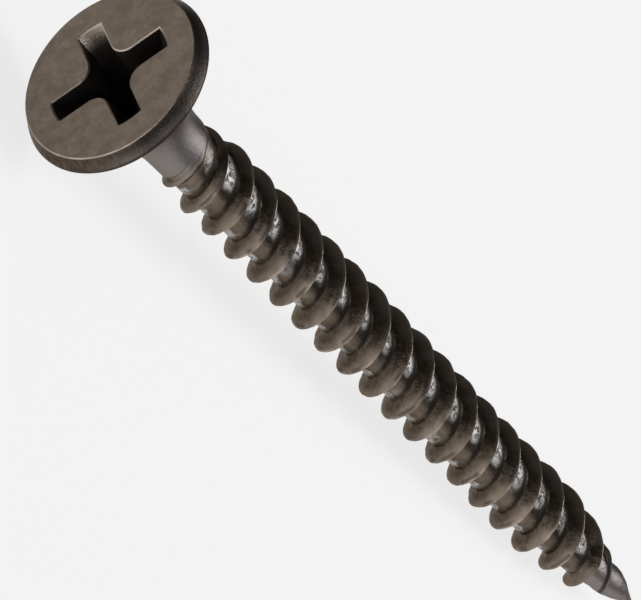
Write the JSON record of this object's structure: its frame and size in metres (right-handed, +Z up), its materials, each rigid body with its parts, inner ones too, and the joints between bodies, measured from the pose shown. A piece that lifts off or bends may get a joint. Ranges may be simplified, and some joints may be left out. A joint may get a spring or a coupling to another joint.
{
  "type": "drywall screw",
  "caption": "Fine-thread drywall screw with a flat bugle head, a cross recess and a sharp point, in brown-grey phosphate finish.",
  "frame": {"origin": "on the surface that the screw lies on, under the middle of its bounding box", "axes": "+Z up, +X from the head to the point, which droops 3.85 degrees towards the surface, +Y across"},
  "size_m": [0.0428, 0.0082, 0.0081],
  "materials": {
    "phosphated_steel": "matt brown-grey phosphate, rubbed bright on edges and in the thread's root"
  },
  "bodies": {
    "root": {"screw": "phosphated_steel"}
  },
  "joints": []
}
